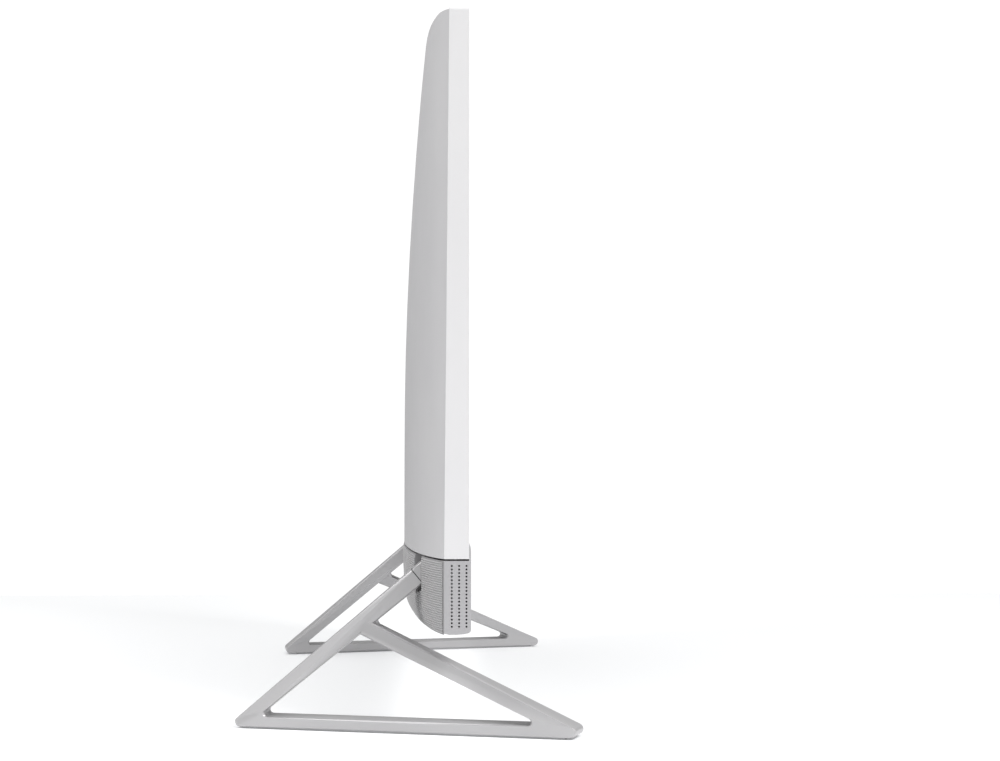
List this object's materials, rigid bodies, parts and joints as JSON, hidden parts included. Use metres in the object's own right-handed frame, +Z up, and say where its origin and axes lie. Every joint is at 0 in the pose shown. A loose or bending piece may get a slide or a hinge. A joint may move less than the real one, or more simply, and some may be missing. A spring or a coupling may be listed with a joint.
{
  "type": "all-in-one desktop computer",
  "caption": "Thin-edged all-in-one desktop computer with a bulged rear cover, a perforated speaker bar below the screen and splayed triangular metal strap legs on tilt hinges",
  "frame": {"origin": "on the desk, under the centre of the bounding box", "axes": "+Z up, front of the screen towards -Y, +X to the right of a user facing the screen"},
  "size_m": [0.54, 0.1958, 0.4027],
  "materials": {
    "shell_white": "satin silver-white paint on moulded plastic",
    "frame_white": "semi-gloss white",
    "grille_white": "satin, perforated",
    "leg_silver": "satin silver paint",
    "rubber_pale": "matte",
    "screen_glass": "gloss, black border",
    "panel_black": "semi-matte film",
    "steel": "zinc plated",
    "black_plastic": "matte",
    "cloth": "fine black cloth",
    "board_green": "solder mask",
    "copper": "bare copper",
    "aluminium_raw": "mill finish",
    "nickel": "nickel plated",
    "lens": "coated",
    "button_white": "satin"
  },
  "bodies": {
    "left_leg": {"left_leg": "leg_silver", "left_foot_pad": "rubber_pale", "left_hinge_arm": "leg_silver"},
    "right_leg": {"right_leg": "leg_silver", "right_foot_pad": "rubber_pale", "right_hinge_arm": "leg_silver"},
    "camera": {"camera_pod": "shell_white", "camera_lens": "lens"},
    "fan_rotor": {"fan_impeller": "black_plastic"},
    "power_button": {"power_button": "button_white"},
    "display": {"middle_frame": "frame_white", "front_bezel": "frame_white", "port_panel": "shell_white", "display_glass": "screen_glass", "lcd_panel": "panel_black", "backlight_tray": "steel", "back_cover": "shell_white", "lower_rear_cover": "shell_white", "speaker_grille": "grille_white", "grille_cloth": "cloth", "chassis_plate": "steel", "motherboard": "board_green", "board_screws": "nickel", "processor": "nickel", "cold_plate": "copper", "heat_pipe": "copper", "heatsink_fins": "aluminium_raw", "fan_housing": "black_plastic", "memory_modules": "board_green", "solid_state_drive": "board_green", "wireless_card": "nickel", "coin_cell": "nickel", "drive_caddy": "steel", "hard_drive": "aluminium_raw", "left_speaker_box": "black_plastic", "right_speaker_box": "black_plastic", "left_speaker_driver": "black_plastic", "right_speaker_driver": "black_plastic", "port_board": "board_green", "dc_inlet": "black_plastic", "hdmi_ports": "nickel", "ethernet_port": "nickel", "usb_ports": "nickel", "audio_jack": "black_plastic", "power_switch": "black_plastic", "port_ribbon": "black_plastic", "camera_guide": "black_plastic", "left_hinge_bracket": "steel", "left_hinge_screws": "nickel", "left_hinge_shaft": "nickel", "left_hinge_nut": "nickel", "right_hinge_bracket": "steel", "right_hinge_screws": "nickel", "right_hinge_shaft": "nickel", "right_hinge_nut": "nickel"}
  },
  "joints": [
    {"name": "left_tilt", "type": "hinge", "parent": "left_leg", "child": "display", "pos_m": [-0.211, -0.0165, 0.09], "axis": [-1, 0, 0], "range_deg": [-5, 25]},
    {"name": "right_tilt", "type": "hinge", "parent": "display", "child": "right_leg", "pos_m": [0.211, -0.0165, 0.09], "axis": [-1, 0, 0], "range_deg": [-25, 5]},
    {"name": "camera_rise", "type": "slide", "parent": "display", "child": "camera", "axis": [0, 0, 1], "range_m": [0, 0.018]},
    {"name": "fan_spin", "type": "hinge", "parent": "display", "child": "fan_rotor", "pos_m": [0.099, -0.0186, 0.226], "axis": [0, 1, 0], "continuous": true},
    {"name": "power_press", "type": "slide", "parent": "display", "child": "power_button", "axis": [0, -1, 0], "range_m": [0, 0.0008], "stiffness_N_per_m": 600}
  ],
  "couplings": [
    {"joint": "right_tilt", "follows": "left_tilt", "ratio": -1}
  ]
}
